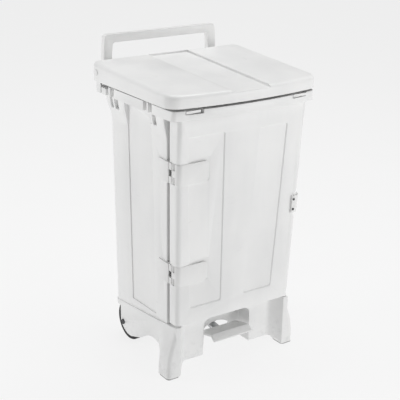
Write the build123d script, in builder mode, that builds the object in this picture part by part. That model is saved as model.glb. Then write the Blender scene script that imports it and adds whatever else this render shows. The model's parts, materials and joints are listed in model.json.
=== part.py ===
from build123d import *
import os
from math import cos, radians, sin

# Pedal-operated waste bin with a hinged lid, a front service door, two rear wheels
# and a push handle. Millimetres, +Z up, the front faces -Y. The pieces are drawn about
# the tub and written with the origin on the floor under the middle of the whole bin.

os.makedirs("parts", exist_ok=True)

# ---------------------------------------------------------------- driving sizes
# Tapered body, measured at the top edge of the door
door_top = 777.0
body_half_width = 218.0       # half width at the door's front face
body_widening = 0.0165        # growth of the half width per mm towards the rear
side_draft = 0.0267           # inward lean of the sides per mm downwards
face_y = -207.0               # door's front face
face_draft = 0.0351           # backward lean of the door's face per mm downwards
jamb_y = -151.0               # front edge of the tub's side walls
jamb_draft = 0.0251
rear_y = 156.0                # rear wall of the tub
body_round = 28.0
wall = 5.0

# Collar, rim and the seam between tub and base
collar_foot = 700.0
collar_top = 779.0
collar_side_flare = 11.5
collar_rear_flare = 21.0
rim_top = 806.0
rim_half_front = 240.0
rim_half_rear = 249.0
rim_front_y = -211.0
rim_bow = 22.0
rim_round = 15.0
seam_front_y = -187.0
seam_front_z = 160.0
seam_slope = 0.10
rear_cut_y = 120.0            # behind this the rim is lowered under the swinging lid
rear_cut_z = 798.0

# Lid
lid_bottom = 813.0
lid_front_y = -211.0
lid_bow = 23.0                # forward swell of the lid's and rim's front edge
lid_rear_y = 195.0
lid_half_front = 252.0
lid_half_rear = 257.0
lid_front_round = 42.0
lid_rear_round = 24.0
lid_top_front = 848.0
lid_top_rear = 867.0
lid_edge_round = 12.0
lid_wall = 3.0
band_depth = 6.0
band_half_front = 64.0
band_half_rear = 70.0
band_rear_y = 186.0
lid_axis_y = 165.0
lid_axis_z = 838.0
lid_open = 85.0

# Front door
door_bottom = 165.0
door_front_wall = 8.0
door_side_wall = 6.5
door_round = 13.0
door_edge_gap = 14.0          # between the door's rear edge and the tub's side wall
panel_depth = 3.5
nose_inset = 22.0             # tub's door frame, inwards from the body's side
nose_setback = 20.0           # tub's door frame, behind the door's face
nose_gap = 4.0                # above and below the door frame, inside the door
frame_width = 26.0

# Door hinges
hinge_heights = {"upper": 624.0, "lower": 321.0}
hinge_height = 60.0
hinge_axis_inset = 7.0        # axis inwards from the body's side
hinge_axis_ahead = 25.0       # axis in front of the tub's side wall
hinge_pin_r = 2.5
hinge_eye_r = 7.0
hinge_eye_height = 19.0
running_gap = 0.05            # radial, pins and shafts
strap_proud = 1.5
strap_sink = 4.0
strap_right_x = {"upper": -115.0, "lower": -106.0}
scoop_width = 23.0            # finger scoop beside each strap
block_length = 38.0           # hinge block along the tub's side
block_thickness = 4.0

# Base
base_proud = 1.0
base_wall = 5.0
panel_y = -151.0
panel_bottom = 28.0
leg_inner_x = 187.0
leg_front_y = -186.0
leg_rear_y = -135.0
leg_half_widths = ((4.0, 230.0), (40.0, 228.6), (77.0, 223.0), (112.0, 213.0), (147.0, 205.0), (168.0, 203.5))
cheek_half = 207.0
cheek_rear_y = 120.0
recess_half = 84.0
recess_top = 143.0
recess_round = 22.0
recess_back_y = -98.0
arch_half = 45.0
arch_top = 96.0
arch_side = 81.0
pad_height = 4.0

# Pedal, lever and push rod
pivot_y = -40.0
pivot_z = 84.0
pedal_half = 68.0
pedal_front_y = -187.0
pedal_rear_y = -108.0
pedal_lip_z = 80.0
pedal_crest_y = -170.0
pedal_crest_z = 98.0
pedal_slope = 0.25
pedal_thickness = 8.0
lever_half = 12.0
lever_thickness = 12.0
pedal_axle_r = 5.0
bracket_x = 22.0
bracket_wall = 6.0
rod_ahead = 32.4              # rod in front of the lid's axis
rod_r = 4.0
rod_foot_r = 10.0
rod_foot_height = 5.0
rod_drop = 52.0               # cam contact below the lid's axis when closed
contact_gap = 0.4             # rod to cam
foot_gap = 0.75               # rod to roller
roller_r = 6.0
roller_drop = 6.0             # roller's centre below the pedal's pivot at rest

# Channel for the rod in the tub's rear wall
channel_half = 20.0
channel_front_y = 118.0
channel_wall = 5.0
channel_rear_skin = 6.0
cover_top = 688.0
cover_half = 30.0
cover_thickness = 3.0
guide_heights = (166.0, 746.0)
guide_thickness = 12.0

# Wheels
wheel_r = 62.5
wheel_y = 104.0
wheel_outer_x = 188.6
wheel_width = 22.0
tyre_depth = 12.0
axle_r = 6.0
wheel_wall_x = 155.0
hub_boss_r = 13.0
cap_r = 8.0
cap_height = 3.0

# Push handle
handle_top = 930.0
handle_y = 221.0
handle_depth = 18.0
handle_width = 27.0
handle_bar = 25.0
handle_half_top = 194.0
handle_half = 198.0
handle_foot_bottom = 780.0
handle_foot_top = 796.0

rod_y = lid_axis_y - rod_ahead
collar_rear_y = rear_y + collar_rear_flare


# ---------------------------------------------------------------- shared outlines
def half_at(z, y):
    """Half width of the tapered body at height z and depth y."""
    return body_half_width - side_draft * (door_top - z) + body_widening * (y - door_face(z))


def door_face(z):
    """Depth of the door's front face at height z."""
    return face_y + face_draft * (door_top - z)


def jamb(z):
    """Depth of the front edge of the tub's side walls at height z."""
    return jamb_y + jamb_draft * (door_top - z)


def seam(y):
    """Height of the seam between tub and base at depth y."""
    return seam_front_z - seam_slope * (y - seam_front_y)


def plan(z, front, rear, half_front, half_rear, front_round=0.0, rear_round=0.0, bow=0.0):
    """Four-sided outline at height z with rounded corners; bow swells the front edge forwards."""
    with BuildSketch(Plane.XY.offset(z)) as outline:
        with BuildLine():
            Polyline(
                (half_front, front),
                (half_rear, rear),
                (-half_rear, rear),
                (-half_front, front),
            )
            if bow:
                ThreePointArc((-half_front, front), (0, front - bow), (half_front, front))
            else:
                Line((-half_front, front), (half_front, front))
        make_face()
        if front_round:
            fillet(outline.vertices().group_by(Axis.Y)[0], front_round)
        if rear_round:
            fillet(outline.vertices().group_by(Axis.Y)[-1], rear_round)
    return outline.sketch


def body_plan(z, inset=0.0):
    """The tub's main outline, moved inwards by inset."""
    front = jamb(z) + inset
    rear = rear_y - inset
    return plan(z, front, rear, half_at(z, front) - inset, half_at(z, rear) - inset, 3.0, body_round - inset)


def nose_plan(z, inset=0.0, reach=8.0):
    """The tub's door frame, which the door closes over."""
    front = door_face(z) + nose_setback + inset
    rear = jamb(z) + reach
    half = half_at(z, front) - nose_inset - inset
    return plan(z, front, rear, half, half, 10.0)


def door_plan(z, out=0.0, rear_out=0.0):
    """The door's outer outline, moved outwards by out."""
    front = door_face(z) - out
    rear = jamb(z) - door_edge_gap + rear_out
    return plan(z, front, rear, half_at(z, front) + out, half_at(z, rear) + out, door_round + out)


def collar_plan(t):
    """The flared collar, t from 0 at its foot to 1 at its top."""
    z = collar_foot + t * (collar_top - collar_foot)
    swell = t * t * (3 - 2 * t)
    side = collar_side_flare * swell
    rear = rear_y + collar_rear_flare * swell
    front = jamb(z)
    return plan(z, front, rear, half_at(z, front) + side, half_at(z, rear) + side, 3.0, body_round + 8 * swell)


def hinge_axis(z):
    """Point on the door's hinge axis at height z."""
    return Vector(-half_at(z, jamb(z)) + hinge_axis_inset, jamb(z) - hinge_axis_ahead, z)


def tilted(point, normal, x_dir=(1, 0, 0)):
    """Plane through a point with a given outward normal."""
    return Plane(origin=point, x_dir=x_dir, z_dir=normal)


seam_plane = tilted((0, seam_front_y, seam_front_z), (0, seam_slope, 1))
floor_plane = seam_plane.offset(wall)
hinge_direction = hinge_axis(door_top) - hinge_axis(door_bottom)
hinge_plane = {
    name: tilted(hinge_axis(height), hinge_direction)
    for name, height in hinge_heights.items()
}
mid_height = (door_top + door_bottom) / 2
face_plane = tilted((0, door_face(mid_height), mid_height), (0, -1, -face_draft))
side_plane = tilted(
    (-half_at(mid_height, 0), 0, mid_height),
    (-1, -body_widening, -side_draft),
    (0, -1, 0),
)


def screw(where, axis_z, length, radius, head_r, head_height):
    """Pan-head screw: its head's underside at the plane, its shank running backwards."""
    seat = Plane(origin=where, z_dir=axis_z)
    with BuildPart() as fastener:
        with BuildSketch(seat):
            Circle(radius)
        extrude(amount=-length)
        with BuildSketch(seat):
            Circle(head_r)
        extrude(amount=head_height)
    return fastener.part


def bore(where, axis_z, length, radius):
    """Round cutter that starts at a point and runs backwards."""
    with BuildPart() as cutter:
        with BuildSketch(Plane(origin=where, z_dir=axis_z)):
            Circle(radius)
        extrude(amount=-length)
    return cutter.part


def box_between(low, high):
    """Block between two corners."""
    size = [b - a for a, b in zip(low, high)]
    with BuildPart(Plane(origin=low)) as block:
        Box(*size, align=(Align.MIN, Align.MIN, Align.MIN))
    return block.part


written = []


handle_screw_head = 3.5
origin_y = (lid_front_y - lid_bow + handle_y + handle_depth + handle_screw_head) / 2


def finish(part, name):
    """Move a finished piece so that the origin is under the middle of the whole bin, and write it."""
    placed = part.moved(Location((0, -origin_y, 0)))
    placed.label = name
    export_step(placed, f"parts/{name}.step")
    written.append(name)


# ---------------------------------------------------------------- fastener places
screw_r = 2.5
small_screw_r = 2.0
handle_screw_r = 3.0
block_screw_rise = 18.0
block_screw_y = 20.0          # behind the side wall's front edge
block_screws = []
for name, height in hinge_heights.items():
    for rise in (-block_screw_rise, block_screw_rise):
        z = height + rise
        y = jamb(z) + block_screw_y
        block_screws.append((-half_at(z, y) + wall + 0.2, y, z))

strap_screw_x = (-170.0, -136.0)
strap_screws = []
for name, height in hinge_heights.items():
    for x in strap_screw_x:
        strap_screws.append((x, door_face(height) + door_front_wall + 0.3, height))

pull_height = 53.0
pull_z = 467.5
pull_left_x = 186.0
pull_proud = 6.0
pull_screw_x = 191.0
pull_screw_rise = 15.5
pull_screws = [(pull_screw_x, door_face(pull_z + s) - pull_proud - 0.25, pull_z + s) for s in (-pull_screw_rise, pull_screw_rise)]

handle_screw_x = handle_half - handle_width / 2
handle_screw_z = (handle_foot_bottom + handle_foot_top) / 2
handle_screw_length = 84.0
cover_screw_x = 25.0
cover_screw_z = (190.0, 420.0, 655.0)
lever_screw_y = (130.0, 172.0)
lever_screw_x = 11.0
pedal_screw_y = (-155.0, -122.0)
base_screw_x = 120.0
base_screw_y = (-90.0, 70.0)


def pedal_top(y):
    """Height of the pedal's tread at depth y."""
    return pedal_crest_z - pedal_slope * (y - pedal_crest_y)


def lid_top(y):
    """Height of the lid's top plane at depth y."""
    slope = (lid_top_rear - lid_top_front) / (lid_rear_y - lid_front_y)
    return lid_top_front + slope * (y - lid_front_y)


def lid_half(y):
    """Half width of the lid at depth y."""
    return lid_half_front + (lid_half_rear - lid_half_front) * (y - lid_front_y) / (lid_rear_y - lid_front_y)


# ---------------------------------------------------------------- tub
side_panel_front = -77.0
side_panel_rear = 49.0
side_panel_depth = 3.0
side_panel_top = 778.0
pocket_ranges = ((82.0, 102.5), (111.0, 125.0), (-112.0, -94.0), (-87.0, -69.0))
pocket_low = 744.0
pocket_high = 812.0
pocket_top_x = 231.5          # bottom of the pockets at the rim's top
pocket_lean = 0.30
pocket_reach = 45.0

with BuildPart() as side_relief:
    with BuildSketch(side_plane.offset(-side_panel_depth)):
        with Locations((-(side_panel_front + side_panel_rear) / 2, 0)):
            Rectangle(side_panel_rear - side_panel_front, 2 * (side_panel_top - mid_height))
    extrude(amount=pocket_reach)
    mirror(about=Plane.YZ)

with BuildPart() as collar_pockets:
    pocket_plane = tilted((-pocket_top_x, 0, rim_top), (-1, -body_widening, -pocket_lean), (0, -1, 0))
    with BuildSketch(pocket_plane):
        for low, high in pocket_ranges:
            with Locations((-(low + high) / 2, (pocket_low + pocket_high) / 2 - rim_top)):
                RectangleRounded(high - low, pocket_high - pocket_low, 4.0)
    extrude(amount=pocket_reach)
    mirror(about=Plane.YZ)

cavity_foot = 100.0
with BuildPart() as cavity:
    loft(sections=[body_plan(cavity_foot, wall), body_plan(rim_top, wall)])
    split(bisect_by=floor_plane, keep=Keep.TOP)

nose_bottom = door_bottom + door_side_wall + nose_gap
nose_top = door_top - door_side_wall - nose_gap
notch_half = 27.0
notch_x = 177.0
notch_low = 795.0
tab_half = 23.0
ring_step = 6.0
ring_margin = 14.0
ring_round = 10.0
ring_mouth_half = 190.0
lever_room = 8.0
tab_x = 179.5
tab_front_y = -219.0
lug_thickness = 6.0
lug_x = rim_half_rear - lug_thickness
lug_r = 12.0
lid_pin_r = 4.0
mouth_low = 780.0
shelf_wall = 5.0

with BuildPart() as body_solid:
    loft(sections=[body_plan(cavity_foot), body_plan(collar_top)])

with BuildPart() as tub:
    add(body_solid.part)
    loft(sections=[collar_plan(t / 4) for t in range(5)])
    add(plan(collar_top, rim_front_y, collar_rear_y, rim_half_front, rim_half_rear, rim_round, body_round + 8, rim_bow))
    extrude(amount=rim_top - collar_top)
    loft(sections=[nose_plan(nose_bottom), nose_plan(nose_top)])
    # hollow under the front shelf of the rim
    shelf_half = rim_half_front - 3 * shelf_wall
    add(plan(collar_top - 1, rim_front_y + shelf_wall, jamb(collar_top) - 1, shelf_half, shelf_half, bow=rim_bow - 2))
    extrude(amount=rim_top - ring_step - shelf_wall - collar_top + 1, mode=Mode.SUBTRACT)
    add(side_relief.part, mode=Mode.SUBTRACT)
    add(collar_pockets.part, mode=Mode.SUBTRACT)
    add(cavity.part, mode=Mode.SUBTRACT)
    loft(
        sections=[nose_plan(nose_bottom + wall, wall, 12.0), nose_plan(nose_top - wall, wall, 12.0)],
        mode=Mode.SUBTRACT,
    )
    # door opening in the frame
    with BuildSketch(face_plane.offset(-nose_setback + 2)):
        RectangleRounded(
            2 * (half_at(mid_height, 0) - nose_inset - frame_width - 4),
            nose_top - nose_bottom - 2 * frame_width,
            20.0,
        )
    extrude(amount=-3 * wall, mode=Mode.SUBTRACT)
    # channel for the push rod
    add(
        box_between(
            (-channel_half - channel_wall, channel_front_y - channel_wall, cavity_foot),
            (channel_half + channel_wall, rear_y - 1, rear_cut_z),
        )
    )
    add(
        box_between(
            (-channel_half, channel_front_y, cavity_foot - 1),
            (channel_half, rear_y - channel_rear_skin, rear_cut_z + 1),
        ),
        mode=Mode.SUBTRACT,
    )
    add(
        box_between(
            (-channel_half, rear_y - channel_rear_skin - 1, cavity_foot - 1),
            (channel_half, rear_y + 1, cover_top - 10),
        ),
        mode=Mode.SUBTRACT,
    )
    for height in guide_heights:
        add(
            box_between(
                (-channel_half, channel_front_y, height - guide_thickness / 2),
                (channel_half, rear_y - channel_rear_skin, height + guide_thickness / 2),
            )
        )
    add(bore((0, rod_y, rim_top), (0, 0, 1), rim_top, rod_r + running_gap), mode=Mode.SUBTRACT)
    add(
        box_between(
            (-channel_half - channel_wall - 2, channel_front_y - 3 * channel_wall, mouth_low),
            (channel_half + channel_wall + 2, collar_rear_y - wall, rim_top + 1),
        ),
        mode=Mode.SUBTRACT,
    )
    # seat for the liner ring and the notches for its tabs
    add(
        plan(
            rim_top - ring_step,
            rim_front_y + ring_margin,
            rear_cut_y + 1,
            rim_half_front - ring_margin,
            rim_half_front - ring_margin,
            ring_round,
        )
    )
    extrude(amount=ring_step + 1, mode=Mode.SUBTRACT)
    for side in (-1, 1):
        add(
            box_between(
                (side * notch_x - notch_half, rim_front_y - rim_bow, notch_low),
                (side * notch_x + notch_half, rim_front_y + ring_margin + 4, rim_top + 1),
            ),
            mode=Mode.SUBTRACT,
        )
    # rim lowered at the rear, with one lug on each side for the lid's pins
    add(
        box_between(
            (-rim_half_rear - 5, rear_cut_y, rear_cut_z),
            (rim_half_rear + 5, collar_rear_y + 5, rim_top + 5),
        ),
        mode=Mode.SUBTRACT,
    )
    for x in (lug_x, -lug_x - lug_thickness):
        with BuildSketch(Plane.YZ.offset(x)):
            with Locations((lid_axis_y, lid_axis_z)):
                Circle(lug_r)
            with Locations((lid_axis_y, collar_top + 1)):
                Rectangle(2 * lug_r, lid_axis_z - collar_top - 1, align=(Align.CENTER, Align.MIN))
            with Locations((lid_axis_y, lid_axis_z)):
                Circle(lid_pin_r + running_gap, mode=Mode.SUBTRACT)
        extrude(amount=lug_thickness)
    for place in block_screws:
        add(bore(place, (1, 0, 0), 2 * wall, screw_r), mode=Mode.SUBTRACT)
    for side in (-1, 1):
        add(
            bore((side * handle_screw_x, collar_rear_y + 1, handle_screw_z), (0, 1, 0), 23.0, handle_screw_r),
            mode=Mode.SUBTRACT,
        )
        for z in cover_screw_z:
            add(bore((side * cover_screw_x, rear_y + 1, z), (0, 1, 0), 6.0, small_screw_r), mode=Mode.SUBTRACT)
        for y in base_screw_y:
            add(bore((side * base_screw_x, y, seam(y) + 4.0), (0, 0, 1), 20.0, screw_r), mode=Mode.SUBTRACT)
    split(bisect_by=seam_plane, keep=Keep.TOP)
finish(tub.part, "tub")


# ---------------------------------------------------------------- liner ring
with BuildPart() as bag_ring:
    add(
        plan(
            rim_top - ring_step,
            rim_front_y + ring_margin + 0.5,
            rear_cut_y - 1,
            rim_half_front - ring_margin - 0.5,
            rim_half_front - ring_margin - 0.5,
            ring_round,
            3.0,
        )
    )
    extrude(amount=ring_step - 0.5)
    add(
        plan(
            rim_top - ring_step - 1,
            jamb(collar_top) + wall,
            rear_cut_y - 16,
            ring_mouth_half,
            ring_mouth_half,
            ring_round,
            ring_round,
        )
    )
    extrude(amount=ring_step + 2, mode=Mode.SUBTRACT)
    for side in (-1, 1):
        add(
            box_between(
                (side * tab_x - tab_half, tab_front_y, notch_low + 2.5),
                (side * tab_x + tab_half, rim_front_y + ring_margin + 3.5, rim_top - 1),
            )
        )
    # room for the lid's lever
    add(
        box_between(
            (-lever_room, rear_cut_y - 11, rim_top - ring_step - 1),
            (lever_room, rear_cut_y + 1, rim_top + 1),
        ),
        mode=Mode.SUBTRACT,
    )
finish(bag_ring.part, "bag_ring")


# ---------------------------------------------------------------- base
def base_outline(z, points, rounds):
    """Outline from its right-hand points, mirrored, with the same corners rounded."""
    with BuildSketch(Plane.XY.offset(z)) as outline:
        with BuildLine():
            Polyline(*points, *[(-x, y) for x, y in reversed(points)], close=True)
        make_face()
        for index, radius in rounds.items():
            x, y = points[index]
            near = outline.vertices().sort_by(lambda v: abs(abs(v.X) - x) + abs(v.Y - y))
            fillet(near[:2], radius)
    return outline.sketch


def leg_outline(z, half, side):
    """One front leg's outline at height z."""
    with BuildSketch(Plane.XY.offset(z)) as outline:
        with BuildLine():
            Polyline(
                (side * (panel_half + 5), panel_y - 5),
                (side * leg_inner_x, leg_front_y),
                (side * half, leg_front_y),
                (side * half, leg_rear_y),
                (side * (cheek_half - 1), leg_back_y),
                (side * (panel_half + 5), leg_back_y),
                close=True,
            )
        make_face()
        corner = outline.vertices().sort_by(lambda v: abs(v.X - side * half) + abs(v.Y - leg_front_y))[0]
        fillet(corner, 12.0)
    return outline.sketch


panel_half = 155.0
leg_back_y = -97.0
base_height = 180.0
base_points = [
    (panel_half, panel_y),
    (leg_inner_x, leg_front_y),
    (203.0, leg_front_y),
    (204.0, leg_rear_y),
    (cheek_half, leg_back_y),
    (cheek_half, rear_y - 2),
]
cavity_points = [
    (panel_half - 7, panel_y + base_wall),
    (cheek_half - base_wall, leg_back_y + 7),
    (cheek_half - base_wall, rear_y - 2 - base_wall),
]
with BuildPart() as base_cavity:
    add(base_outline(0, cavity_points, {}))
    extrude(amount=base_height)
    split(bisect_by=seam_plane.offset(-wall), keep=Keep.BOTTOM)

rear_apron_half = 150.0
rear_apron_low = 30.0
arch_start_z = 48.0
cheek_low = (55.0, 33.0)
with BuildPart() as side_arch:
    with BuildSketch(Plane.YZ.offset(-leg_half_widths[0][1] - 5)):
        with BuildLine():
            Line((leg_rear_y, -1), (leg_rear_y, arch_start_z))
            Spline(
                (leg_rear_y, arch_start_z),
                (-113, 72),
                (-72, 83),
                (-38, 76),
                (-6, 56),
                (20, 45),
                tangents=((0.15, 1), (1, -0.35)),
            )
            Line((20, 45), cheek_low)
            ThreePointArc(cheek_low, (98, 40), (cheek_rear_y - 2, 62))
            Line((cheek_rear_y - 2, 62), (cheek_rear_y, 112))
            Line((cheek_rear_y, 112), (rear_y + 5, 112))
            Line((rear_y + 5, 112), (rear_y + 5, -1))
            Line((rear_y + 5, -1), (leg_rear_y, -1))
        make_face()
    extrude(amount=leg_half_widths[0][1] + 5 - panel_half - 6)
    mirror(about=Plane.YZ)

with BuildPart() as base:
    add(base_outline(pad_height, base_points, {0: 20.0, 1: 8.0, 5: 20.0}))
    extrude(amount=base_height - pad_height)
    for side in (-1, 1):
        loft(sections=[leg_outline(z, half, side) for z, half in leg_half_widths])
    add(base_cavity.part, mode=Mode.SUBTRACT)
    add(side_arch.part, mode=Mode.SUBTRACT)
    add(side_relief.part, mode=Mode.SUBTRACT)
    for low, high, top in ((-cheek_half - 5, -rear_apron_half, 112), (rear_apron_half, cheek_half + 5, 112),
                           (-rear_apron_half - 1, rear_apron_half + 1, rear_apron_low)):
        add(
            box_between((low, rear_y - 18, 0), (high, rear_y + 5, top)),
            mode=Mode.SUBTRACT,
        )
    # lower edge of the front panel, curving down into the two legs
    with BuildSketch(Plane.XZ.offset(-leg_front_y + 5)):
        with BuildLine():
            Line((-leg_inner_x, 0), (leg_inner_x, 0))
            ThreePointArc((leg_inner_x, 0), (177, 18), (panel_half, panel_bottom))
            Line((panel_half, panel_bottom), (-panel_half, panel_bottom))
            ThreePointArc((-panel_half, panel_bottom), (-177, 18), (-leg_inner_x, 0))
        make_face()
    extrude(amount=leg_front_y - leg_back_y - 10, mode=Mode.SUBTRACT)
    # pedal recess with an arched slot for the lever
    add(
        box_between(
            (-recess_half - base_wall, panel_y + 1, panel_bottom),
            (recess_half + base_wall, recess_back_y + base_wall, base_height - 20),
        )
    )
    with BuildSketch(Plane.XZ.offset(-panel_y + 1)):
        Rectangle(2 * recess_half, recess_top, align=(Align.CENTER, Align.MIN))
        fillet(vertices().group_by(Axis.Y)[-1], recess_round)
    extrude(amount=panel_y - 1 - recess_back_y, mode=Mode.SUBTRACT)
    with BuildSketch(Plane.XZ.offset(-recess_back_y + 1)):
        with BuildLine():
            Line((-arch_half, 0), (arch_half, 0))
            Line((arch_half, 0), (arch_half, arch_side))
            ThreePointArc((arch_half, arch_side), (0, arch_top), (-arch_half, arch_side))
            Line((-arch_half, arch_side), (-arch_half, 0))
        make_face()
    extrude(amount=-2 * base_wall, mode=Mode.SUBTRACT)
    # brackets for the pedal's axle, and inner walls that carry the wheel axle
    for side in (-1, 1):
        low = min(side * bracket_x, side * (bracket_x + bracket_wall))
        add(
            box_between(
                (low, pivot_y - 18, pivot_z - 14),
                (low + bracket_wall, pivot_y + 18, seam(pivot_y)),
            )
        )
        low = min(side * wheel_wall_x, side * (wheel_wall_x + base_wall))
        add(
            box_between(
                (low, wheel_y - 26, wheel_r - 20),
                (low + base_wall, wheel_y + 26, seam(wheel_y)),
            )
        )
        start = min(side * (wheel_wall_x + base_wall + 1), side * (cheek_half - base_wall))
        with BuildSketch(Plane.YZ.offset(start)):
            with Locations((wheel_y, wheel_r)):
                Circle(wheel_r + 3)
        extrude(amount=cheek_half - 2 * base_wall - wheel_wall_x - 1, mode=Mode.SUBTRACT)
        for y in base_screw_y:
            add(bore((side * base_screw_x, y, seam(y) + 4.0), (0, 0, 1), 20.0, screw_r), mode=Mode.SUBTRACT)
    add(bore((cheek_half + 1, wheel_y, wheel_r), (1, 0, 0), 2 * cheek_half + 2, axle_r), mode=Mode.SUBTRACT)
    add(bore((60, pivot_y, pivot_z), (1, 0, 0), 120, pedal_axle_r), mode=Mode.SUBTRACT)
    add(
        box_between((-channel_half, channel_front_y - 33, 90), (channel_half, rear_y - channel_rear_skin, base_height)),
        mode=Mode.SUBTRACT,
    )
    split(bisect_by=seam_plane, keep=Keep.BOTTOM)
finish(base.part, "base")

for side, name in ((-1, "left_foot_pad"), (1, "right_foot_pad")):
    half = leg_half_widths[0][1]
    with BuildPart() as pad:
        with BuildSketch():
            with Locations((side * (half + leg_inner_x) / 2, (leg_front_y + leg_rear_y) / 2)):
                RectangleRounded(half - leg_inner_x - 2, leg_rear_y - leg_front_y - 2, 9.0)
        extrude(amount=pad_height)
    finish(pad.part, name)


# ---------------------------------------------------------------- front door
def door_shell(outer, inner):
    """Skin that follows the door's face and sides, between two offsets."""
    with BuildPart() as shell:
        loft(sections=[door_plan(door_bottom - 5, outer, 3), door_plan(door_top + 5, outer, 3)])
        loft(sections=[door_plan(door_bottom - 5, inner, 9), door_plan(door_top + 5, inner, 9)], mode=Mode.SUBTRACT)
    return shell.part


def strap_outline(name):
    """Strap's outline seen from the front: square at the corner, rounded at its free end."""
    height = hinge_heights[name]
    with BuildPart() as shape:
        with BuildSketch(Plane.XZ):
            with Locations((strap_right_x[name], height)):
                Rectangle(260.0, hinge_height, align=(Align.MAX, Align.CENTER))
            fillet(vertices().group_by(Axis.X)[-1], strap_round)
        extrude(amount=260.0)
    return shape.part


def scoop(name):
    """Finger scoop in the door's face, deepest beside the strap's end."""
    height = hinge_heights[name]
    left = strap_right_x[name]
    right = left + scoop_width
    slope = Plane(origin=(0, door_face(height), height), x_dir=(1, 0, 0), z_dir=(0, -face_draft, 1))
    with BuildPart() as ramp:
        with BuildSketch(slope.offset(-hinge_height)):
            with BuildLine():
                Polyline(
                    (right, -5),
                    (right, 0),
                    (left, strap_sink + 1.5),
                    (left - 55, strap_sink),
                    (left - 78, 0),
                    (left - 78, -5),
                    close=True,
                )
            make_face()
        extrude(amount=2 * hinge_height)
    with BuildPart() as outline:
        with BuildSketch(Plane.XZ):
            with BuildLine():
                Polyline(
                    (left, height - hinge_height / 2),
                    (left - 78, height - hinge_height / 2),
                    (left - 78, height + hinge_height / 2 + 1),
                    (left, height + hinge_height / 2 + 11),
                )
                Spline(
                    (left, height + hinge_height / 2 + 11),
                    (right - 8, height + hinge_height / 2 + 4),
                    (right, height + 6),
                    (right - 14, height - hinge_height / 2 + 4),
                    (left, height - hinge_height / 2),
                    tangents=((1, 0.1), (-1, -0.25)),
                )
            make_face()
        extrude(amount=260.0)
    return ramp.part & outline.part


def hinge_slot(name):
    """Space in the door's side wall for the hinge's eyes."""
    with BuildPart() as slot:
        with BuildSketch(hinge_plane[name].offset(-hinge_height / 2 - 1)):
            with Locations((0, hinge_axis_ahead)):
                Rectangle(28.0, slot_depth + hinge_axis_ahead, align=(Align.CENTER, Align.MAX))
        extrude(amount=hinge_height + 2)
    return slot.part


slot_depth = 14.0             # slot's front edge, ahead of the hinge axis
strap_round = 12.0
panel_taper = 38.0
panels = (
    ((-188.0, 728.0), (-64.0, 728.0), (-50.0, 212.0), (-159.0, 212.0)),
    ((52.0, 723.0), (153.5, 723.0), (132.0, 214.0), (28.0, 214.0)),
)
with BuildPart() as front_door:
    loft(sections=[door_plan(door_bottom), door_plan(door_top)])
    low = door_bottom + door_side_wall
    high = door_top - door_side_wall
    inner_sections = []
    for z in (low, high):
        front = door_face(z) + door_front_wall
        rear = jamb(z)
        half_front = half_at(z, front) - door_side_wall
        half_rear = half_at(z, rear) - door_side_wall
        inner_sections.append(plan(z, front, rear, half_front, half_rear, door_round - door_side_wall))
    loft(sections=inner_sections, mode=Mode.SUBTRACT)
    for outline in panels:
        with BuildSketch(face_plane):
            with BuildLine():
                Polyline(*[(x, z - mid_height) for x, z in outline], close=True)
            make_face()
            fillet(vertices(), 8.0)
        extrude(amount=-panel_depth, taper=panel_taper, mode=Mode.SUBTRACT)
    skin = door_shell(strap_proud + 4, -strap_sink)
    for name, height in hinge_heights.items():
        seat = strap_outline(name)
        add(scoop(name), mode=Mode.SUBTRACT)
        add(skin & seat, mode=Mode.SUBTRACT)
        add(hinge_slot(name), mode=Mode.SUBTRACT)
    for place in strap_screws:
        add(bore(place, (0, 1, 0), 2 * door_front_wall, screw_r), mode=Mode.SUBTRACT)
    for place in pull_screws:
        add(bore(place, (0, -1, 0), pull_proud + 4, small_screw_r), mode=Mode.SUBTRACT)
finish(front_door.part, "front_door")

strap_skin = door_shell(strap_proud, -strap_sink)
for name, height in hinge_heights.items():
    plane = hinge_plane[name]
    with BuildPart() as strap:
        add(strap_skin & strap_outline(name))
        add(hinge_slot(name), mode=Mode.SUBTRACT)
        with BuildSketch(plane.offset(-hinge_eye_height / 2)):
            Circle(hinge_eye_r)
            with Locations((-hinge_eye_r, 0)):
                Rectangle(4.0, slot_depth + 2, align=(Align.MIN, Align.MAX))
            Circle(hinge_pin_r + running_gap, mode=Mode.SUBTRACT)
        extrude(amount=hinge_eye_height)
        for place in strap_screws:
            add(bore(place, (0, 1, 0), door_front_wall, screw_r), mode=Mode.SUBTRACT)
    finish(strap.part, f"{name}_hinge_strap")

    eye_gap = 0.5
    plate_front = 13.0            # behind the hinge axis, clear of the open door
    with BuildPart() as hinge_block:
        for start in (-hinge_height / 2, hinge_eye_height / 2 + eye_gap):
            with BuildSketch(plane.offset(start)):
                Circle(hinge_eye_r)
                with Locations((-hinge_eye_r - block_thickness / 2, 0)):
                    Rectangle(hinge_eye_r, hinge_axis_ahead, align=(Align.MIN, Align.MIN))
                Circle(hinge_pin_r, mode=Mode.SUBTRACT)
            extrude(amount=(hinge_height - hinge_eye_height) / 2 - eye_gap)
        with BuildSketch(plane.offset(-hinge_height / 2)):
            with Locations((-hinge_eye_r - 0.3, plate_front)):
                Rectangle(block_thickness, hinge_axis_ahead + block_length - plate_front, align=(Align.MAX, Align.MIN))
        extrude(amount=hinge_height)
        add(body_solid.part, mode=Mode.SUBTRACT)
        for place in block_screws:
            add(bore(place, (1, 0, 0), wall + 3, screw_r), mode=Mode.SUBTRACT)
    finish(hinge_block.part, f"{name}_hinge_block")

    with BuildPart() as hinge_pin:
        with BuildSketch(plane.offset(-hinge_height / 2)):
            Circle(hinge_pin_r)
        extrude(amount=hinge_height)
    finish(hinge_pin.part, f"{name}_hinge_pin")

with BuildPart() as hinge_block_screws:
    for place in block_screws:
        add(screw(place, (1, 0, 0), wall + 3, screw_r, 4.5, 2.5))
finish(hinge_block_screws.part, "hinge_block_screws")

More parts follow.
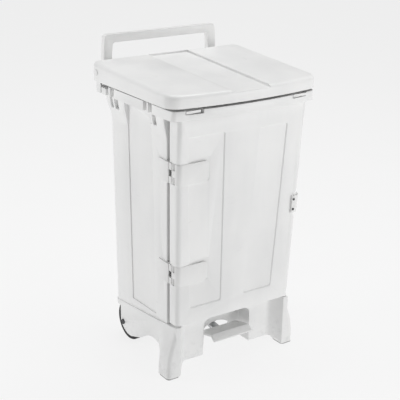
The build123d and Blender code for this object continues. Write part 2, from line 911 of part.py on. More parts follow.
with BuildPart() as strap_screw_set:
    for place in strap_screws:
        add(screw(place, (0, 1, 0), door_front_wall, screw_r, 4.5, 2.5))
finish(strap_screw_set.part, "strap_screws")

with BuildPart() as pull_zone:
    with BuildSketch(Plane.XY.offset(pull_z - pull_height / 2)):
        with Locations((pull_left_x, -230)):
            Rectangle(50.0, 52.0, align=(Align.MIN, Align.MIN))
    extrude(amount=pull_height)
with BuildPart() as door_pull:
    add(door_shell(pull_proud, 0.0) & pull_zone.part)
    for place in pull_screws:
        add(bore(place, (0, -1, 0), pull_proud + 4, small_screw_r), mode=Mode.SUBTRACT)
finish(door_pull.part, "door_pull")

with BuildPart() as pull_screw_set:
    for place in pull_screws:
        add(screw(place, (0, -1, 0), pull_proud + 4, small_screw_r, 3.5, 1.5))
finish(pull_screw_set.part, "pull_screws")

catch_x = 174.0
catch_size = (16.0, 32.0)
plate_thickness = 2.0
catch_gap = 0.5
with BuildPart() as catch_plate:
    with BuildSketch(face_plane.offset(-door_front_wall)):
        with Locations((catch_x, pull_z - mid_height)):
            Rectangle(*catch_size)
    extrude(amount=-plate_thickness)
finish(catch_plate.part, "catch_plate")

with BuildPart() as catch_magnet:
    with BuildSketch(face_plane.offset(-door_front_wall - plate_thickness - catch_gap)):
        with Locations((catch_x, pull_z - mid_height)):
            Rectangle(*catch_size)
    extrude(amount=-(nose_setback - door_front_wall - plate_thickness - catch_gap - 0.1))
finish(catch_magnet.part, "catch_magnet")


# ---------------------------------------------------------------- lid
lid_slope = (lid_top_rear - lid_top_front) / (lid_rear_y - lid_front_y)
lid_plane = tilted((0, lid_axis_y, lid_top(lid_axis_y)), (0, -lid_slope, 1))


def lid_block(inset, top_drop, edge_round):
    """The lid's solid outer form, moved inwards by inset."""
    front = lid_front_y + inset
    rear = lid_rear_y - inset
    with BuildPart() as block:
        add(
            plan(
                lid_bottom - inset,
                front,
                rear,
                lid_half(front) - inset,
                lid_half(rear) - inset,
                lid_front_round - inset,
                lid_rear_round - inset,
                lid_bow,
            )
        )
        extrude(amount=lid_top_rear - lid_bottom + 20)
        split(bisect_by=lid_plane.offset(-top_drop), keep=Keep.BOTTOM)
        fillet(block.faces().sort_by(Axis.Z)[-1].edges(), edge_round)
    return block.part


def band_block(margin, drop):
    """Space above the recessed centre band."""
    with BuildPart() as block:
        add(
            plan(
                lid_bottom - 1,
                lid_front_y - lid_bow - 5,
                band_rear_y + margin,
                band_half_front + margin,
                band_half_rear + margin,
            )
        )
        extrude(amount=lid_top_rear - lid_bottom + 20)
        split(bisect_by=lid_plane.offset(-drop), keep=Keep.TOP)
    return block.part


rear_skirt_rise = 6.0
lug_slot_half = 7.0
lug_slot_top = 852.0
buffer_x = 150.0
buffer_y = -175.0
buffer_r = 9.0
buffer_gap = 0.4
with BuildPart() as lid_hollow:
    add(lid_block(lid_wall, lid_wall, lid_edge_round - lid_wall))
    add(band_block(lid_wall, band_depth + lid_wall), mode=Mode.SUBTRACT)

lid_pin_boss = (lug_x + lug_thickness + 0.7, lid_half(lid_axis_y) - lid_wall / 2)
with BuildPart() as lid:
    add(lid_block(0.0, 0.0, lid_edge_round))
    add(band_block(0.0, band_depth), mode=Mode.SUBTRACT)
    add(lid_hollow.part, mode=Mode.SUBTRACT)
    add(
        box_between(
            (-lug_x - 1, lid_rear_y - 15, lid_bottom - 1),
            (lug_x + 1, lid_rear_y + 1, lid_bottom + rear_skirt_rise),
        ),
        mode=Mode.SUBTRACT,
    )
    for side in (-1, 1):
        middle = side * (lug_x + lug_thickness / 2)
        add(
            box_between(
                (middle - lug_slot_half, lid_rear_y - 16, lid_bottom - 1),
                (middle + lug_slot_half, lid_rear_y + 1, lug_slot_top),
            ),
            mode=Mode.SUBTRACT,
        )
        low, high = sorted(side * x for x in lid_pin_boss)
        with BuildSketch(Plane.YZ.offset(low)):
            with Locations((lid_axis_y, lid_axis_z)):
                Circle(9.0)
        extrude(amount=high - low)
        with BuildSketch(Plane.YZ.offset(min(side * lug_x, side * 265))):
            with Locations((lid_axis_y, lid_axis_z)):
                Circle(lid_pin_r)
        extrude(amount=265 - lug_x, mode=Mode.SUBTRACT)
        with BuildSketch(Plane.XY.offset(rim_top + ring_step)):
            with Locations((side * buffer_x, buffer_y)):
                Circle(buffer_r - 1)
        extrude(amount=lid_top(buffer_y) - rim_top - ring_step - 1)
    for y in lever_screw_y:
        for x in (-lever_screw_x, lever_screw_x):
            z = lid_top(y) - band_depth - 1
            add(bore((x, y, z), (0, 0, 1), 6.0, small_screw_r), mode=Mode.SUBTRACT)
finish(lid.part, "lid")

for side, name in ((-1, "left_lid_pin"), (1, "right_lid_pin")):
    with BuildPart() as lid_pin:
        outer = lid_half(lid_axis_y) + 0.4
        with BuildSketch(Plane.YZ.offset(min(side * (lug_x - 1), side * outer))):
            with Locations((lid_axis_y, lid_axis_z)):
                Circle(lid_pin_r)
        extrude(amount=outer - lug_x + 1)
        with BuildSketch(Plane.YZ.offset(min(side * outer, side * (outer + 1.2)))):
            with Locations((lid_axis_y, lid_axis_z)):
                Circle(9.0)
        extrude(amount=1.2)
    finish(lid_pin.part, name)

with BuildPart() as lid_buffers:
    for side in (-1, 1):
        with BuildSketch(Plane.XY.offset(rim_top - 0.5 + buffer_gap)):
            with Locations((side * buffer_x, buffer_y)):
                Circle(buffer_r)
        extrude(amount=ring_step + 0.5 - buffer_gap)
finish(lid_buffers.part, "lid_buffers")


def cam_point(turn):
    """Point of the cam that touches the rod when the lid has opened by turn radians."""
    height = rod_ahead * turn - rod_drop
    return (
        lid_axis_y - rod_ahead * cos(turn) - height * sin(turn),
        lid_axis_z - rod_ahead * sin(turn) + height * cos(turn),
    )


cam_steps = 8
cam_half = 5.0
cam_curve = [cam_point(radians(lid_open) * step / cam_steps) for step in range(cam_steps + 1)]
flange_plane = lid_plane.offset(-band_depth - lid_wall)
with BuildPart() as lid_lever:
    with BuildSketch(flange_plane):
        with Locations((0, (lever_screw_y[0] + lever_screw_y[1]) / 2 - lid_axis_y)):
            RectangleRounded(32.0, 62.0, 4.0)
    extrude(amount=-4.0)
    with BuildSketch(Plane.YZ.offset(-cam_half)):
        with BuildLine():
            Spline(*cam_curve)
            Polyline(
                cam_curve[-1],
                (cam_curve[-1][0] + 0.1, cam_curve[-1][1] + rod_r + 1.5),
                (lid_axis_y + 7, lid_axis_z - 14),
                (lid_axis_y + 7, lid_axis_z + 16),
                (lid_axis_y - 42, lid_axis_z + 15),
                (lid_axis_y - 42, lid_axis_z - 36),
                cam_curve[0],
            )
        make_face()
    extrude(amount=2 * cam_half)
    for y in lever_screw_y:
        for x in (-lever_screw_x, lever_screw_x):
            z = lid_top(y) - band_depth
            add(bore((x, y, z), (0, 0, 1), 20.0, small_screw_r), mode=Mode.SUBTRACT)
finish(lid_lever.part, "lid_lever")

with BuildPart() as lid_lever_screws:
    for y in lever_screw_y:
        for x in (-lever_screw_x, lever_screw_x):
            z = lid_top(y) - band_depth - lid_wall - 4.0
            add(screw((x, y, z - 0.3), (0, 0, -1), 6.0, small_screw_r, 3.8, 2.2))
finish(lid_lever_screws.part, "lid_lever_screws")


# ---------------------------------------------------------------- push rod and its cover
roller_z = pivot_z - roller_drop
rod_foot_z = roller_z + roller_r + foot_gap
with BuildPart() as push_rod:
    with BuildSketch(Plane.XY.offset(rod_foot_z)):
        with Locations((0, rod_y)):
            Circle(rod_foot_r)
    extrude(amount=rod_foot_height)
    with BuildSketch(Plane.XY.offset(rod_foot_z)):
        with Locations((0, rod_y)):
            Circle(rod_r)
    extrude(amount=lid_axis_z - rod_drop - contact_gap - rod_foot_z)
finish(push_rod.part, "push_rod")

with BuildPart() as rod_cover:
    with BuildSketch(Plane.XZ.offset(-rear_y)):
        with Locations((0, (cover_top + 150) / 2)):
            RectangleRounded(2 * cover_half, cover_top - 150, 8.0)
    extrude(amount=-cover_thickness)
    for side in (-1, 1):
        for z in cover_screw_z:
            add(bore((side * cover_screw_x, rear_y + 5, z), (0, 1, 0), 8.0, small_screw_r), mode=Mode.SUBTRACT)
finish(rod_cover.part, "rod_cover")

with BuildPart() as cover_screws:
    for side in (-1, 1):
        for z in cover_screw_z:
            add(screw((side * cover_screw_x, rear_y + cover_thickness, z), (0, 1, 0), 7.0, small_screw_r, 3.8, 2.0))
finish(cover_screws.part, "cover_screws")


# ---------------------------------------------------------------- pedal
with BuildPart() as pedal:
    with BuildSketch(Plane.YZ.offset(-pedal_half)):
        with BuildLine():
            Polyline(
                (pedal_front_y, pedal_lip_z),
                (pedal_front_y, pedal_lip_z + 4),
                (pedal_crest_y, pedal_crest_z),
                (pedal_rear_y, pedal_top(pedal_rear_y)),
                (pedal_rear_y, pedal_top(pedal_rear_y) - pedal_thickness),
                (pedal_crest_y + 2, pedal_top(pedal_crest_y + 2) - pedal_thickness),
                (pedal_front_y + 8, pedal_lip_z),
                close=True,
            )
        make_face()
    extrude(amount=2 * pedal_half)
    fillet(pedal.edges().filter_by(Axis.X).group_by(Axis.Z)[-1], 3.0)
    for y in pedal_screw_y:
        add(bore((0, y, pedal_top(y) - 2), (0, 0, 1), 12.0, screw_r), mode=Mode.SUBTRACT)
finish(pedal.part, "pedal")

lever_tip_y = rod_y + 6.0
with BuildPart() as pedal_lever:
    with BuildSketch(Plane.YZ.offset(-lever_half)):
        with BuildLine():
            Polyline(
                (-166.0, pedal_top(-166.0) - pedal_thickness),
                (pedal_rear_y, pedal_top(pedal_rear_y) - pedal_thickness),
                (pivot_y - 16, pivot_z - 4),
                (pivot_y, pivot_z + 9),
                (rod_y - 14, roller_z + 4),
                (lever_tip_y, roller_z + 3),
                (lever_tip_y, roller_z - 4.5),
                (wheel_y - 6, roller_z - 4.5),
                (pivot_y, pivot_z - 9),
                (pedal_rear_y, pedal_top(pedal_rear_y) - pedal_thickness - lever_thickness),
                (-160.0, pedal_top(-160.0) - pedal_thickness - lever_thickness),
                close=True,
            )
        make_face()
    extrude(amount=2 * lever_half)
    with BuildSketch(Plane.YZ.offset(-bracket_x + 0.3)):
        with Locations((pivot_y, pivot_z)):
            Circle(pedal_axle_r + 5)
    extrude(amount=2 * bracket_x - 0.6)
    add(bore((60, pivot_y, pivot_z), (1, 0, 0), 120, pedal_axle_r + running_gap), mode=Mode.SUBTRACT)
    add(
        box_between((-7.3, rod_y - 8, roller_z - 10), (7.3, rod_y + 8, roller_z + 10)),
        mode=Mode.SUBTRACT,
    )
    add(bore((20, rod_y, roller_z), (1, 0, 0), 40, small_screw_r), mode=Mode.SUBTRACT)
    for y in pedal_screw_y:
        add(bore((0, y, pedal_top(y) - 2), (0, 0, 1), 40.0, screw_r), mode=Mode.SUBTRACT)
finish(pedal_lever.part, "pedal_lever")

with BuildPart() as pedal_screws:
    for y in pedal_screw_y:
        under = pedal_top(y) - pedal_thickness - lever_thickness
        add(screw((0, y, under - 1.2), (0, 0, -1), lever_thickness + 5, screw_r, 4.5, 2.5))
finish(pedal_screws.part, "pedal_screws")

with BuildPart() as pedal_axle:
    add(bore((bracket_x + bracket_wall, pivot_y, pivot_z), (1, 0, 0), 2 * (bracket_x + bracket_wall), pedal_axle_r))
finish(pedal_axle.part, "pedal_axle")

with BuildPart() as rod_roller:
    add(bore((7.0, rod_y, roller_z), (1, 0, 0), 14.0, roller_r))
    add(bore((8.0, rod_y, roller_z), (1, 0, 0), 16.0, small_screw_r + running_gap), mode=Mode.SUBTRACT)
finish(rod_roller.part, "rod_roller")

with BuildPart() as roller_pin:
    add(bore((lever_half, rod_y, roller_z), (1, 0, 0), 2 * lever_half, small_screw_r))
finish(roller_pin.part, "roller_pin")


# ---------------------------------------------------------------- wheels
def disc(side, inner_x, outer_x, radius):
    """Disc around the wheel axle between two distances from the middle."""
    low, high = sorted((side * inner_x, side * outer_x))
    return bore((high, wheel_y, wheel_r), (1, 0, 0), high - low, radius)


wheel_inner_x = wheel_outer_x - wheel_width
hub_r = wheel_r - tyre_depth
for side, name in ((-1, "left"), (1, "right")):
    with BuildPart() as wheel_hub:
        add(disc(side, wheel_inner_x + 1, wheel_outer_x - 1, hub_r))
        add(disc(side, wheel_inner_x, wheel_inner_x + 8, hub_r - 6), mode=Mode.SUBTRACT)
        add(disc(side, wheel_outer_x - 8, wheel_outer_x, hub_r - 6), mode=Mode.SUBTRACT)
        add(disc(side, wheel_wall_x + base_wall + 0.8, cheek_half - base_wall - 0.8, hub_boss_r))
        add(disc(side, wheel_wall_x, cheek_half, axle_r + running_gap), mode=Mode.SUBTRACT)
    finish(wheel_hub.part, f"{name}_wheel_hub")
    with BuildPart() as tyre:
        add(disc(side, wheel_inner_x, wheel_outer_x, wheel_r))
        fillet(tyre.edges(), 5.0)
        add(disc(side, wheel_inner_x - 1, wheel_outer_x + 1, hub_r), mode=Mode.SUBTRACT)
    finish(tyre.part, f"{name}_tyre")

with BuildPart() as wheel_axle:
    add(bore((cheek_half, wheel_y, wheel_r), (1, 0, 0), 2 * cheek_half, axle_r))
finish(wheel_axle.part, "wheel_axle")

with BuildPart() as axle_caps:
    for side in (-1, 1):
        add(disc(side, cheek_half, cheek_half + cap_height, cap_r))
finish(axle_caps.part, "axle_caps")


# ---------------------------------------------------------------- push handle
with BuildPart() as push_handle:
    with BuildSketch(Plane.XZ.offset(-handle_y)):
        with BuildLine():
            inner_top = handle_top - handle_bar
            inner_half = handle_half - handle_width
            bend_z = inner_top - 32
            Polyline(
                (-handle_half, handle_foot_bottom),
                (-handle_half, bend_z),
                (-handle_half_top, handle_top),
                (handle_half_top, handle_top),
                (handle_half, bend_z),
                (handle_half, handle_foot_bottom),
                (inner_half, handle_foot_bottom),
                (inner_half, bend_z),
                (inner_half - 4, inner_top),
                (-inner_half + 4, inner_top),
                (-inner_half, bend_z),
                (-inner_half, handle_foot_bottom),
                close=True,
            )
        make_face()
        fillet(vertices().group_by(Axis.Y)[-1], 11.0)
        fillet(vertices().filter_by(lambda v: abs(v.Y - inner_top) < 0.5), 7.0)
    extrude(amount=-handle_depth)
    for side in (-1, 1):
        low, high = sorted((side * inner_half, side * handle_half))
        add(
            box_between(
                (low, collar_rear_y, handle_foot_bottom),
                (high, handle_y + 1, handle_foot_top),
            )
        )
        place = (side * handle_screw_x, handle_y + handle_depth + 1, handle_screw_z)
        add(bore(place, (0, 1, 0), handle_screw_length + 2, handle_screw_r), mode=Mode.SUBTRACT)
finish(push_handle.part, "push_handle")

with BuildPart() as handle_screws:
    for side in (-1, 1):
        place = (side * handle_screw_x, handle_y + handle_depth, handle_screw_z)
        add(screw(place, (0, 1, 0), handle_screw_length, handle_screw_r, 5.5, handle_screw_head))
finish(handle_screws.part, "handle_screws")

with BuildPart() as base_screws:
    for side in (-1, 1):
        for y in base_screw_y:
            place = (side * base_screw_x, y, seam(y) - wall - 0.6)
            add(screw(place, (0, 0, -1), wall + 4.0, screw_r, 4.5, 2.5))
finish(base_screws.part, "base_screws")

print(len(written), "nodes")
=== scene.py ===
import json
import math

import bmesh
import bpy
from mathutils import Matrix, Vector


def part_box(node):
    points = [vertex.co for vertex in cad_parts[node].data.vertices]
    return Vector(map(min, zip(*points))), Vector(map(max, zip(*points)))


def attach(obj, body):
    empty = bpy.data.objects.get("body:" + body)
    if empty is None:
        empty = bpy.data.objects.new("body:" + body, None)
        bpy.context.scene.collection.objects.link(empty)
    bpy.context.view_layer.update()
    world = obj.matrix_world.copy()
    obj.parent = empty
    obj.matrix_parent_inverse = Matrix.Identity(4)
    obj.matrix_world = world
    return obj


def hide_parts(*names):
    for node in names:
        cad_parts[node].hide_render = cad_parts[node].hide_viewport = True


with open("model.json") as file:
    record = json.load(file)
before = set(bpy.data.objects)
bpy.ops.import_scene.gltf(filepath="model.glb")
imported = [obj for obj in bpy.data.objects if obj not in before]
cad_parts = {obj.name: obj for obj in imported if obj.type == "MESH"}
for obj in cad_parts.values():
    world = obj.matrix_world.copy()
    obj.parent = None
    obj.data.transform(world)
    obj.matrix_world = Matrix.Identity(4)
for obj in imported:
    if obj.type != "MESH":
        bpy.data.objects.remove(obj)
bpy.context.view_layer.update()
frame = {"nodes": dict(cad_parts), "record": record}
scene = bpy.context.scene

# White pedal bin with a front service door. Metres, +Z up, the door faces -Y.


# ---------------------------------------------------------------- camera
camera_azimuth = math.radians(-34.9)
camera_roll = math.radians(1.2)
camera_place = Vector((-1.66198, -2.38630, 1.51409))
camera_target = Vector((-0.0019, -0.00425, 0.4538))

ahead = (camera_target - camera_place).normalized()
level_right = Vector((math.cos(camera_azimuth), math.sin(camera_azimuth), 0.0))
level_up = level_right.cross(ahead).normalized()
right = level_right * math.cos(camera_roll) + level_up * math.sin(camera_roll)
up = right.cross(ahead).normalized()
view_camera = bpy.data.cameras.new("view_camera")
view_camera.sensor_width = 36.0
view_camera.lens = 93.2
view_camera.clip_end = 60.0
camera = bpy.data.objects.new("view_camera", view_camera)
camera.matrix_world = Matrix.Translation(camera_place) @ Matrix(
    (
        (right.x, up.x, -ahead.x, 0.0),
        (right.y, up.y, -ahead.y, 0.0),
        (right.z, up.z, -ahead.z, 0.0),
        (0.0, 0.0, 0.0, 1.0),
    )
)
scene.collection.objects.link(camera)
scene.camera = camera


# ---------------------------------------------------------------- node helpers
class Finish:
    """A material under construction: its shader, and short calls for the nodes that feed it."""

    def __init__(self, name):
        self.material = bpy.data.materials.new(name)
        self.material.use_nodes = True
        self.tree = self.material.node_tree
        self.shader = self.tree.nodes["Principled BSDF"]
        self.place = self.tree.nodes.new("ShaderNodeTexCoord").outputs["Object"]

    def node(self, kind, **values):
        made = self.tree.nodes.new(kind)
        for key, value in values.items():
            setattr(made, key, value)
        return made

    def link(self, out, into):
        self.tree.links.new(out, into)

    def stretched(self, scale, turn=(0.0, 0.0, 0.0)):
        """Object position, stretched by scale along each axis."""
        mapping = self.node("ShaderNodeMapping")
        mapping.inputs["Scale"].default_value = scale
        mapping.inputs["Rotation"].default_value = turn
        self.link(self.place, mapping.inputs["Vector"])
        return mapping.outputs["Vector"]

    def noise(self, scale, detail=2.0, roughness=0.5, vector=None):
        made = self.node("ShaderNodeTexNoise")
        made.inputs["Scale"].default_value = scale
        made.inputs["Detail"].default_value = detail
        made.inputs["Roughness"].default_value = roughness
        self.link(vector or self.place, made.inputs["Vector"])
        return made.outputs["Fac"]

    def span(self, value, low, high, to_low, to_high):
        """Map low..high to to_low..to_high, smoothly and held at both ends."""
        made = self.node("ShaderNodeMapRange", interpolation_type="SMOOTHSTEP")
        for key, number in zip(("From Min", "From Max", "To Min", "To Max"), (low, high, to_low, to_high)):
            made.inputs[key].default_value = number
        self.link(value, made.inputs["Value"])
        return made.outputs["Result"]

    def maths(self, operation, first, second):
        made = self.node("ShaderNodeMath", operation=operation)
        for slot, value in zip(made.inputs, (first, second)):
            if isinstance(value, (int, float)):
                slot.default_value = value
            else:
                self.link(value, slot)
        return made.outputs["Value"]

    def tint(self, amount, under, over):
        """Mix two colours, each a constant or a socket, by amount."""
        made = self.node("ShaderNodeMix", data_type="RGBA")
        self.link(amount, made.inputs["Factor"])
        for slot, value in ((made.inputs[6], under), (made.inputs[7], over)):
            if isinstance(value, tuple):
                slot.default_value = (*value, 1.0)
            else:
                self.link(value, slot)
        return made.outputs[2]

    def bump(self, height, strength, distance, below=None):
        made = self.node("ShaderNodeBump")
        made.inputs["Strength"].default_value = strength
        made.inputs["Distance"].default_value = distance
        self.link(height, made.inputs["Height"])
        if below:
            self.link(below, made.inputs["Normal"])
        return made.outputs["Normal"]

    def height(self):
        split = self.node("ShaderNodeSeparateXYZ")
        self.link(self.place, split.inputs["Vector"])
        return split.outputs["Z"]


def moulded(name, light, shade, gloss, grain=0.05):
    """Injection-moulded plastic: flow clouds, fine spark-eroded grain, hairline scuffs and handling dust."""
    f = Finish(name)
    clouds = f.noise(5.0, 3.0, 0.55)
    flow = f.noise(9.0, 4.0, 0.6, f.stretched((1.0, 1.0, 0.18)))
    colour = f.tint(f.span(f.maths("ADD", clouds, flow), 0.7, 1.3, 0.0, 1.0), shade, light)
    scuff = f.noise(22.0, 5.0, 0.7, f.stretched((1.0, 1.0, 7.0), (0.5, 0.3, 0.7)))
    scuffs = f.span(scuff, 0.60, 0.72, 0.0, 1.0)
    dusty = tuple(0.90 * c for c in shade)
    colour = f.tint(f.maths("MULTIPLY", scuffs, 0.30), colour, dusty)
    # Darker towards the bottom: below 0.16 m the colour is tinted to a darker grey in noise patches.
    low = f.span(f.height(), 0.0, 0.16, 1.0, 0.0)
    bottom_patches = f.span(f.noise(38.0, 6.0, 0.65), 0.48, 0.70, 0.0, 0.5)
    colour = f.tint(f.maths("MULTIPLY", low, bottom_patches), colour, tuple(0.80 * c for c in shade))
    f.link(colour, f.shader.inputs["Base Color"])
    polish = f.span(clouds, 0.35, 0.65, gloss - 0.04, gloss + 0.05)
    f.link(f.maths("ADD", polish, f.maths("MULTIPLY", scuffs, 0.12)), f.shader.inputs["Roughness"])
    skin = f.bump(f.noise(7.0, 2.0, 0.4), 0.10, 0.004)
    fine = f.bump(f.noise(1100.0, 2.0, 0.5), grain, 0.0004, skin)
    f.link(f.bump(scuff, 0.03, 0.0006, fine), f.shader.inputs["Normal"])
    f.shader.inputs["IOR"].default_value = 1.49
    f.shader.inputs["Specular IOR Level"].default_value = 0.45
    return f.material


def rubber(name, dark, grey, gloss):
    """Rubber: matt, with bloom in patches and grit in the grain."""
    f = Finish(name)
    bloom = f.noise(26.0, 5.0, 0.6)
    colour = f.tint(f.span(bloom, 0.42, 0.68, 0.0, 1.0), dark, grey)
    grit = f.noise(420.0, 3.0, 0.6)
    colour = f.tint(f.span(grit, 0.60, 0.70, 0.0, 0.35), colour, tuple(2.0 * c for c in grey))
    f.link(colour, f.shader.inputs["Base Color"])
    f.link(f.span(bloom, 0.3, 0.7, gloss, gloss + 0.15), f.shader.inputs["Roughness"])
    f.link(f.bump(grit, 0.25, 0.0005), f.shader.inputs["Normal"])
    f.shader.inputs["Specular IOR Level"].default_value = 0.35
    return f.material


def drawn_steel(name, tone, gloss):
    """Zinc-plated steel: turned marks, cloudy plating and specks."""
    f = Finish(name)
    cloud = f.noise(60.0, 4.0, 0.6)
    colour = f.tint(f.span(cloud, 0.35, 0.65, 0.0, 1.0), tuple(0.78 * c for c in tone), tone)
    speck = f.span(f.noise(900.0, 2.0, 0.5), 0.66, 0.74, 0.0, 0.5)
    f.link(f.tint(speck, colour, tuple(0.35 * c for c in tone)), f.shader.inputs["Base Color"])
    marks = f.noise(260.0, 3.0, 0.6, f.stretched((1.0, 9.0, 9.0)))
    f.link(f.span(marks, 0.3, 0.7, gloss - 0.05, gloss + 0.12), f.shader.inputs["Roughness"])
    f.link(f.bump(marks, 0.12, 0.0002), f.shader.inputs["Normal"])
    f.shader.inputs["Metallic"].default_value = 1.0
    return f.material


white_shell = moulded("white_shell", (0.86, 0.86, 0.855), (0.81, 0.812, 0.81), 0.36)
white_fittings = moulded("white_fittings", (0.84, 0.84, 0.835), (0.785, 0.785, 0.78), 0.40, 0.08)
dark_fittings = moulded("dark_fittings", (0.045, 0.046, 0.05), (0.030, 0.031, 0.034), 0.42, 0.10)
tyre_rubber = rubber("tyre_rubber", (0.012, 0.012, 0.013), (0.030, 0.030, 0.031), 0.62)
foot_rubber = rubber("foot_rubber", (0.36, 0.36, 0.36), (0.48, 0.48, 0.47), 0.70)
zinc_steel = drawn_steel("zinc_steel", (0.62, 0.63, 0.64), 0.30)

slot_finish = {
    "white_plastic": white_shell,
    "dark_plastic": dark_fittings,
    "black_rubber": tyre_rubber,
    "grey_rubber": foot_rubber,
    "steel": zinc_steel,
}
fitting_nodes = {
    "upper_hinge_strap",
    "lower_hinge_strap",
    "upper_hinge_block",
    "lower_hinge_block",
    "door_pull",
    "pedal",
    "push_handle",
    "rod_cover",
}
node_slot = {row["node"]: row["material_slot"] for row in frame["record"]["subparts"]}


# ---------------------------------------------------------------- finish of the bin's own pieces
rounding = {
    "lid": 0.0012,
    "tub": 0.0010,
    "front_door": 0.0012,
    "base": 0.0012,
    "push_handle": 0.0030,
    "pedal": 0.0012,
    "bag_ring": 0.0006,
    "upper_hinge_strap": 0.0010,
    "lower_hinge_strap": 0.0010,
    "upper_hinge_block": 0.0008,
    "lower_hinge_block": 0.0008,
    "door_pull": 0.0012,
    "rod_cover": 0.0008,
}


joined_within = 0.00001
flat_within = math.radians(0.4)
sharp_above = math.radians(32.0)


def soften(piece, width):
    """Join the facets, make flat faces whole, and round sharp edges as far as there is room."""
    for face in piece.data.polygons:
        face.use_smooth = True
    weld = piece.modifiers.new("weld", "WELD")
    weld.merge_threshold = joined_within
    whole = piece.modifiers.new("whole_faces", "DECIMATE")
    whole.decimate_type = "DISSOLVE"
    whole.angle_limit = flat_within
    if width:
        rounded = piece.modifiers.new("rounded_edges", "BEVEL")
        rounded.width = width
        rounded.segments = 2
        rounded.limit_method = "ANGLE"
        rounded.angle_limit = sharp_above
        rounded.use_clamp_overlap = True
        rounded.harden_normals = True
    else:
        crisp = piece.modifiers.new("crisp_edges", "EDGE_SPLIT")
        crisp.split_angle = sharp_above


for name, piece in frame["nodes"].items():
    piece.data.materials.clear()
    finish = slot_finish[node_slot[name]]
    if name in fitting_nodes:
        finish = white_fittings
    piece.data.materials.append(finish)
    soften(piece, rounding.get(name, 0.0))


# ---------------------------------------------------------------- moulded ribs, treads and spokes
rib_rounding = 0.0004
smooth_below = math.radians(35.0)


def bar(mesh, low, high, turn=None, about=None):
    """One rib between two corners, all its edges rounded, turned about a point if asked."""
    low, high = Vector(low), Vector(high)
    made = bmesh.ops.create_cube(mesh, size=1.0)["verts"]
    bmesh.ops.scale(mesh, vec=high - low, verts=made)
    bmesh.ops.translate(mesh, vec=(low + high) / 2, verts=made)
    edges = list({e for v in made for e in v.link_edges})
    rounded = bmesh.ops.bevel(
        mesh,
        geom=edges,
        offset=rib_rounding,
        offset_type="OFFSET",
        segments=2,
        profile=0.5,
        affect="EDGES",
        clamp_overlap=True,
        material=-1,
    )
    if turn:
        whole = {v for f in rounded["faces"] for v in f.verts}
        bmesh.ops.rotate(mesh, cent=about, matrix=turn, verts=list(whole))


def piece_from(mesh, name, body, finish):
    """Turn a bmesh into a named piece, faces outward, that rides on a body and takes a finish."""
    bmesh.ops.recalc_face_normals(mesh, faces=mesh.faces)
    data = bpy.data.meshes.new(name)
    mesh.to_mesh(data)
    mesh.free()
    for face in data.polygons:
        face.use_smooth = True
    data.set_sharp_from_angle(angle=smooth_below)
    data.materials.append(finish)
    made = bpy.data.objects.new(name, data)
    scene.collection.objects.link(made)
    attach(made, body)
    return made


def pedal_tread():
    """Fine ribs across the pedal's lip and top. All but one lie under the pedal's skin."""
    low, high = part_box("pedal")
    side_margin = 0.004
    half_height = 0.0009
    half_width = 0.0014 / 2
    lip_lift = 0.004
    lip_rise, lip_run = 0.014, 0.017
    lip_ribs = 5
    top_start, top_pitch, top_ribs = 0.024, 0.009, 6
    top_slope = math.atan(0.25)
    lip_slope = math.atan2(lip_rise, lip_run)
    left_end, right_end = low.x + side_margin, high.x - side_margin
    lip_z = low.z + lip_lift
    mesh = bmesh.new()

    def rib(y, z, slope):
        bar(
            mesh,
            (left_end, y - half_width, z - half_height),
            (right_end, y + half_width, z + half_height),
            Matrix.Rotation(slope, 3, "X"),
            (0.0, y, z),
        )

    for step in range(1, lip_ribs + 1):
        along = step / (lip_ribs + 1.0)
        rib(low.y + lip_run * along, lip_z + lip_rise * along, lip_slope)
    for step in range(top_ribs):
        y = low.y + top_start + top_pitch * step
        rib(y, lip_z + lip_rise - (y - low.y - lip_run) * math.tan(top_slope), -top_slope)
    piece_from(mesh, "pedal_tread", "pedal", white_fittings)


def lid_ribs():
    """Two grids of ribs under the lid. They hang level, clear of the lid's sloping underside."""
    low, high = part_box("lid")
    half_thick = 0.0016 / 2
    depth, head = 0.010, 0.004
    top_skin = 0.0150
    lid_fall = (high.z - low.z) * 0.40 / (high.y - low.y)
    fall_share = 0.80
    front, rear = low.y + 0.050, high.y - 0.090
    long_ribs = (-0.200, -0.150, -0.100, 0.100, 0.150, 0.200)
    cross_from, cross_to = 0.075, 0.225
    cross_gaps = 4
    roof = high.z - top_skin - (high.y - front) * lid_fall * fall_share
    bottom, top = roof - depth, roof + head
    mesh = bmesh.new()
    for x in long_ribs:
        bar(mesh, (x - half_thick, front, bottom), (x + half_thick, rear, top))
    for step in range(cross_gaps + 1):
        y = front + (rear - front) * step / cross_gaps
        for side in (-1, 1):
            near, far = sorted((side * cross_from, side * cross_to))
            bar(mesh, (near, y - half_thick, bottom), (far, y + half_thick, top))
    piece_from(mesh, "lid_ribs", "lid", white_shell)


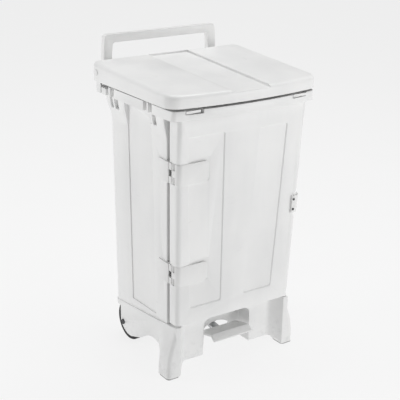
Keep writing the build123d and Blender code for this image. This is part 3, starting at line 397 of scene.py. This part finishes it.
def treaded_tyre(side):
    """Solid tyre spun round the axle, cross grooves in its tread. Its bore clears the hub by 1 mm."""
    low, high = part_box(side + "_tyre")
    centre = (low + high) / 2
    outer = (high.z - low.z) / 2
    inner = outer - 0.012
    shoulder, corner = 0.0045, 0.0015
    steps = 72
    joined_below = 0.00001
    groove_border, groove_depth = 0.0009, 0.0020
    tread_margin = 0.001
    outline = [
        (low.x, inner),
        (low.x, outer - shoulder),
        (low.x + corner, outer - corner),
        (low.x + shoulder, outer),
        (high.x - shoulder, outer),
        (high.x - corner, outer - corner),
        (high.x, outer - shoulder),
        (high.x, inner),
    ]
    mesh = bmesh.new()
    verts = [mesh.verts.new((x, centre.y, centre.z + r)) for x, r in outline]
    edges = [mesh.edges.new((a, b)) for a, b in zip(verts, verts[1:] + verts[:1])]
    bmesh.ops.spin(
        mesh,
        geom=verts + edges,
        cent=centre,
        axis=(1.0, 0.0, 0.0),
        dvec=(0.0, 0.0, 0.0),
        angle=math.tau,
        steps=steps,
        use_merge=True,
        use_duplicate=False,
    )
    bmesh.ops.remove_doubles(mesh, verts=mesh.verts, dist=joined_below)
    grooves = []
    for face in mesh.faces:
        middle = face.calc_center_median()
        across, up_from_axle = middle.y - centre.y, middle.z - centre.z
        on_tread = high.x - shoulder > middle.x > low.x + shoulder
        on_rim = math.hypot(across, up_from_axle) > outer - tread_margin
        place_round = int(round(math.atan2(up_from_axle, across) / math.tau * steps - 0.5))
        if on_tread and on_rim and place_round % 2 == 0:
            grooves.append(face)
    bmesh.ops.inset_individual(mesh, faces=grooves, thickness=groove_border, depth=0.0)
    for face in grooves:
        middle = face.calc_center_median()
        inward = Vector((0.0, centre.y, centre.z)) - Vector((0.0, middle.y, middle.z))
        bmesh.ops.translate(mesh, vec=inward.normalized() * groove_depth, verts=face.verts)
    tyre = piece_from(mesh, side + "_treaded_tyre", side + "_wheel", tyre_rubber)
    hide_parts(side + "_tyre")


def hub_spokes(side):
    """Radial ribs in both faces of the wheel's hub."""
    low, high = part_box(side + "_tyre")
    centre = (low + high) / 2
    spokes = 8
    half_thick = 0.0014
    face_inset, reach_in = 0.0015, 0.0085
    boss = 0.0115
    rim = (high.z - low.z) / 2 - 0.0195 + 0.001
    mesh = bmesh.new()
    left_face = (low.x + face_inset, low.x + reach_in)
    right_face = (high.x - reach_in, high.x - face_inset)
    for near, far in (left_face, right_face):
        for step in range(spokes):
            bar(
                mesh,
                (near, centre.y - half_thick, centre.z + boss),
                (far, centre.y + half_thick, centre.z + rim),
                Matrix.Rotation(math.tau * step / spokes, 3, "X"),
                centre,
            )
    piece_from(mesh, side + "_hub_spokes", side + "_wheel", dark_fittings)


pedal_tread()
lid_ribs()
for side in ("left", "right"):
    treaded_tyre(side)
    hub_spokes(side)


# ---------------------------------------------------------------- floor and studio light
floor_size = 30.0
floor_mesh = bpy.data.meshes.new("floor")
sheet = bmesh.new()
bmesh.ops.create_grid(sheet, x_segments=1, y_segments=1, size=floor_size)
sheet.to_mesh(floor_mesh)
sheet.free()
floor = bpy.data.objects.new("floor", floor_mesh)
scene.collection.objects.link(floor)
paper = Finish("floor_paper")
paper.link(
    paper.tint(paper.noise(3.0, 3.0, 0.5), (0.115, 0.115, 0.115), (0.125, 0.125, 0.125)),
    paper.shader.inputs["Base Color"],
)
paper.shader.inputs["Roughness"].default_value = 0.9
paper.shader.inputs["Specular IOR Level"].default_value = 0.0
paper.shader.inputs["Emission Color"].default_value = (1.0, 1.0, 1.0, 1.0)
paper.shader.inputs["Emission Strength"].default_value = 0.82
floor_mesh.materials.append(paper.material)

studio = bpy.data.worlds.new("studio")
scene.world = studio
studio.use_nodes = True
studio_nodes = studio.node_tree
backdrop = studio_nodes.nodes["Background"]
backdrop.inputs["Color"].default_value = (1.0, 1.0, 1.0, 1.0)
seen = studio_nodes.nodes.new("ShaderNodeLightPath")
strength = studio_nodes.nodes.new("ShaderNodeMapRange")
strength.inputs["To Min"].default_value = 0.26
strength.inputs["To Max"].default_value = 0.913
studio_nodes.links.new(seen.outputs["Is Camera Ray"], strength.inputs["Value"])
studio_nodes.links.new(strength.outputs["Result"], backdrop.inputs["Strength"])


def softbox(name, place, aim, size, power):
    """A rectangular area light at a place, turned to face a point."""
    lamp = bpy.data.lights.new(name, "AREA")
    lamp.shape = "RECTANGLE"
    lamp.size, lamp.size_y = size
    lamp.energy = power
    lamp_object = bpy.data.objects.new(name, lamp)
    lamp_object.location = place
    toward = Vector(aim) - Vector(place)
    lamp_object.rotation_euler = toward.to_track_quat("-Z", "Y").to_euler()
    scene.collection.objects.link(lamp_object)


bin_middle = (0.0, 0.0, 0.45)
softbox("left_softbox", (-2.6, 1.5, 1.3), bin_middle, (1.6, 2.2), 34.0)
softbox("right_softbox", (1.6, -2.8, 0.7), bin_middle, (1.6, 2.0), 41.0)
softbox("top_softbox", (0.6, 0.3, 3.4), bin_middle, (2.4, 2.4), 62.0)

scene.view_settings.view_transform = "Standard"
